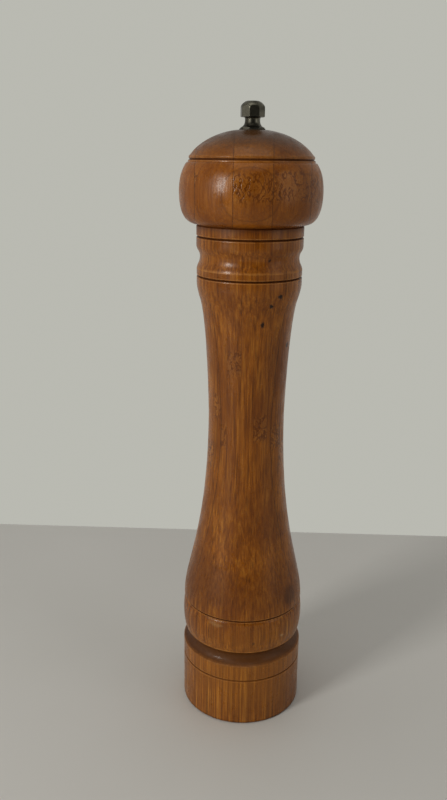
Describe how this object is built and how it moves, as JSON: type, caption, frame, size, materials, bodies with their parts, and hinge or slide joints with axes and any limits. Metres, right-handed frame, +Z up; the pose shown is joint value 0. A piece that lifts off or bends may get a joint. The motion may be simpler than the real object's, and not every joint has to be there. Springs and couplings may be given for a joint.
{
  "type": "pepper mill",
  "caption": "Tall turned-wood pepper mill with a waisted barrel, a domed turning head and an eight-sided top nut that sets the grind of its steel burrs.",
  "frame": {"origin": "centre of the foot, on the table", "axes": "+Z up the drive shaft, -Y towards the front"},
  "size_m": [0.0668, 0.0668, 0.3082],
  "materials": {
    "bamboo": "semi-gloss amber lacquer on laminated bamboo",
    "knob_metal": "dulled and tarnished plating",
    "washer_steel": "thin stamped steel, worn bright",
    "shaft_aluminium": "drawn square bar",
    "burr_steel": "hardened sintered steel",
    "stamped_steel": "zinc-plated stamping",
    "spring_steel": "drawn spring wire",
    "screw_steel": "zinc-plated screws"
  },
  "bodies": {
    "barrel": {"barrel": "bamboo", "ring_burr": "burr_steel", "bridge": "stamped_steel", "retaining_plate": "stamped_steel", "retaining_plate_screws": "screw_steel"},
    "spring_seat": {"thrust_washer": "stamped_steel", "burr_spring": "spring_steel"},
    "spindle": {"drive_shaft": "shaft_aluminium", "rotating_burr": "burr_steel", "burr_washer": "stamped_steel", "burr_screw": "screw_steel"},
    "head": {"head": "bamboo", "drive_plate": "stamped_steel", "drive_plate_screws": "screw_steel", "knob_washer": "washer_steel"},
    "knob": {"adjusting_knob": "knob_metal"}
  },
  "joints": [
    {"name": "grind_turn", "type": "hinge", "parent": "barrel", "child": "spring_seat", "pos_m": [0, 0, 0.05], "axis": [0, 0, 1], "continuous": true},
    {"name": "burr_adjust", "type": "slide", "parent": "spring_seat", "child": "spindle", "axis": [0, 0, 1], "range_m": [-0.001, 0.001], "deforming": ["burr_spring"]},
    {"name": "head_lift", "type": "slide", "parent": "spring_seat", "child": "head", "axis": [0, 0, 1], "range_m": [0, 0.1]},
    {"name": "knob_turn", "type": "hinge", "parent": "head", "child": "knob", "pos_m": [0, 0, 0.3], "axis": [0, 0, 1], "range_deg": [-450, 450]}
  ],
  "couplings": [
    {"joint": "knob_turn", "follows": "burr_adjust", "rad_per_m": -7854}
  ]
}
